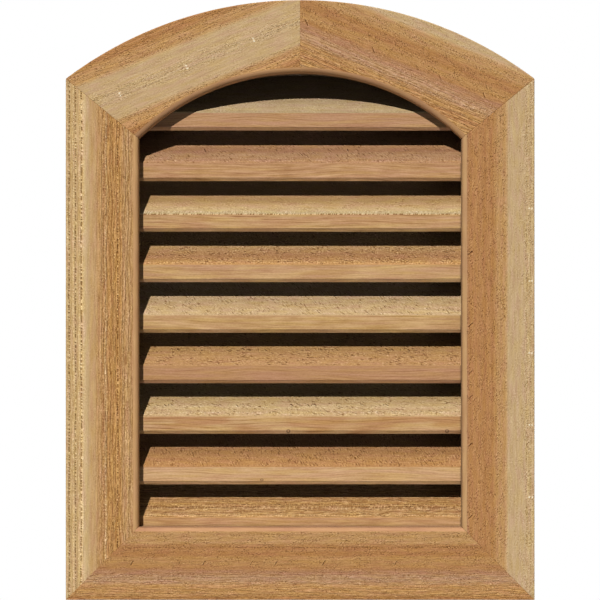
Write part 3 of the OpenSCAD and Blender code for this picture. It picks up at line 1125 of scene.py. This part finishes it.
def screen():
    """Crossed wires trimmed to the screen's arched outline.

    The upright wires run from the foot to centre + sqrt(R² - x²), and the level ones, just behind
    them, across to the side or to sqrt(R² - (z - centre)²).
    """
    half = SCREEN_HIGH[0]
    low = SCREEN_LOW[2]
    radius = SCREEN_HIGH[2] - IN_CENTRE_Z
    near = SCREEN_LOW[1] + 0.2
    x = np.arange(-half + 1, half, MESH_PITCH)
    z = np.arange(low + 1, IN_CENTRE_Z + radius - 0.5, MESH_PITCH)
    top = IN_CENTRE_Z + np.sqrt(radius**2 - x**2)
    above = np.maximum(z - IN_CENTRE_Z, 0)
    reach = np.minimum(half, np.sqrt(radius**2 - above**2))
    front = np.full_like(x, near)
    behind = np.full_like(z, near + WIRE * 0.8)
    starts = np.vstack(
        [np.column_stack([x, front, np.full_like(x, low)]), np.column_stack([-reach, behind, z])]
    )
    ends = np.vstack([np.column_stack([x, front, top]), np.column_stack([reach, behind, z])])
    points, faces = bars(starts, ends, WIRE)
    mesh = mesh_of("screen_mesh", points, faces.tolist(), wire_finish())
    make_piece(mesh, "insect_screen", "insect_screen")


def staples():
    """Wire staples that hold the screen to the back edges of the box.

    Each is a flat section carried along a path that goes in, bends, crosses and goes back in. The
    path is u(t) across the edge's line and y(t) out of the wood.
    """
    crown, leg, bow = 5.0, 3.2, 0.7
    wide, thick = 0.6, 0.25
    proud = SCREEN_HIGH[1] - 0.35
    inset = BOX_T * 0.45
    places = []
    for side in (-1, 1):
        for z in np.linspace(SIDE_LOW[2] + 30, SPRING_Z - 15, 8):
            places.append((side * (BOX_IN + inset), z, math.pi / 2 + 0.12 * math.sin(z)))
    radius = R_BAY + inset
    for angle in np.radians([-36, -26, -15, -5, 6, 15, 26, 36]):
        places.append((radius * math.sin(angle), IN_CENTRE_Z + radius * math.cos(angle), -angle))
    for x in np.linspace(-170, 170, 6):
        places.append((x, SILL_HIGH[2] - inset, 0.1 * math.sin(x)))
    x, z, turn = np.array(places).T
    along = np.stack([np.cos(turn), 0 * turn, np.sin(turn)], axis=1)
    side = np.stack([-np.sin(turn), 0 * turn, np.cos(turn)], axis=1)
    middle = np.stack([x, 0 * x + proud, z], axis=1)
    across = np.array([-crown, -crown, -crown + bow, crown - bow, crown, crown])
    out = np.array([-leg, -bow, 0, 0, -bow, -leg])
    spread = np.array([-1, -1, 0, 0, 1, 1])
    lift = np.array([0, 1, 1, 1, 1, 0])
    strands = []
    for half, skin in ((wide, thick), (-wide, thick), (-wide, -thick), (wide, -thick)):
        strand = middle[:, None] + along[:, None] * (across + skin * spread)[None, :, None]
        strand = strand + side[:, None] * half
        strand[..., 1] += out + skin * lift
        strands.append(strand)
    points = np.stack(strands, axis=2)
    index = np.arange(points[..., 0].size).reshape(points.shape[:3])
    ahead = np.roll(index, -1, axis=2)
    walls = np.stack([index[:, :-1], index[:, 1:], ahead[:, 1:], ahead[:, :-1]], axis=-1)
    faces = np.concatenate([walls.reshape(-1, 4), index[:, 0], index[:, -1, ::-1]])
    make_piece(mesh_of("screen_staples", points, faces.tolist(), steel_finish()), "insect_screen")


# ---- stage


def floor_finish():
    """Grey paper that gives off light to the camera alone, which then sees it white."""
    f = Finish("floor_paper", specular=0.5)
    f.shader.inputs["Base Color"].default_value = (0.20, 0.20, 0.20, 1)
    paper = Number(f, f.shader.outputs[0])
    glow = f.add("ShaderNodeEmission", inputs={"Strength": 0.77})
    bright = f.add("ShaderNodeAddShader", inputs={0: paper, 1: glow})
    seen = f.add("ShaderNodeLightPath", output="Is Camera Ray")
    shown = f.add("ShaderNodeMixShader", inputs={0: seen, 1: paper, 2: bright})
    output = next(n for n in f.nodes if n.type == "OUTPUT_MATERIAL")
    f.feed(output.inputs["Surface"], shown)
    return f.material


def sky():
    """A faint white world for the object, and a full white one for what the camera sees."""
    world = bpy.data.worlds.new("world")
    bpy.context.scene.world = world
    world.use_nodes = True
    tree = Nodes(world.node_tree)
    tree.nodes.clear()
    white = (1.0, 1.0, 1.0)
    faint = tree.add("ShaderNodeBackground", inputs={"Color": white, "Strength": 0.04})
    full = tree.add("ShaderNodeBackground", inputs={"Color": white})
    rays = tree.add("ShaderNodeLightPath").socket.node.outputs
    seen = Number(tree, rays["Is Camera Ray"])
    for kind in ("Is Glossy Ray", "Is Transmission Ray"):
        seen = seen.larger(Number(tree, rays[kind]))
    shown = tree.add("ShaderNodeMixShader", inputs={0: seen, 1: faint, 2: full})
    tree.feed(tree.nodes.new("ShaderNodeOutputWorld").inputs[0], shown)


def lamp(name, power, width, place, aim):
    """A sun lamp, this many degrees wide, that shines along the aim."""
    data = bpy.data.lights.new(name, "SUN")
    data.energy = power
    data.angle = math.radians(width)
    light = show(name, data)
    light.location = place
    tilt = math.atan2(math.hypot(aim[0], aim[1]), -aim[2])
    light.rotation_euler = (tilt, 0, math.atan2(-aim[0], aim[1]))


def stage():
    """Floor, lamps, world and camera."""
    low = FOOT_Z - 350
    corner = np.array([(-3000, -3000, low), (3000, -3000, low), (3000, 3200, low), (-3000, 3200, low)])
    floor = show("floor", mesh_of("floor", corner, [(0, 1, 2, 3)], floor_finish()))
    lamp("back", 2.0, 25, (2.0, 2.0, 3.0), (-0.55, -0.35, -0.76))
    lamp("key", 3.65, 1, (-1.2, -4.0, 3.0), (0.298, 1.0, -0.758))
    sky()
    data = bpy.data.cameras.new("camera")
    data.lens = 208.3
    data.sensor_width = 36
    camera = show("camera", data)
    camera.location = (-0.0002, -4.256, 0.3325)
    camera.rotation_euler = (math.pi / 2, 0, 0)
    bpy.context.scene.camera = camera


bpy.context.scene.view_settings.view_transform = "Standard"
bpy.context.scene.cycles.diffuse_bounces = 1
stage()
casing()
# The louvers' undersides and backs are dark brown as painted shade, so little light bounces from them
# into the gaps between the louvers.
underside_painted_shade_cedar = sawn_cedar(
    "cedar_underside_painted_shade", (1, 0), (0, 1), 0,
    [(-60, (0.22, 0.135, 0.07)), (300, (0.20, 0.12, 0.06)), (700, (0.22, 0.135, 0.07))],
    [(-60, 0.4, 0.7, 0.6), (700, 0.4, 0.7, 0.6)], 727,
)
for number, sheet in enumerate(LOUVERS, start=1):
    louver(number, underside_painted_shade_cedar, **sheet)
box()
screen()
staples()
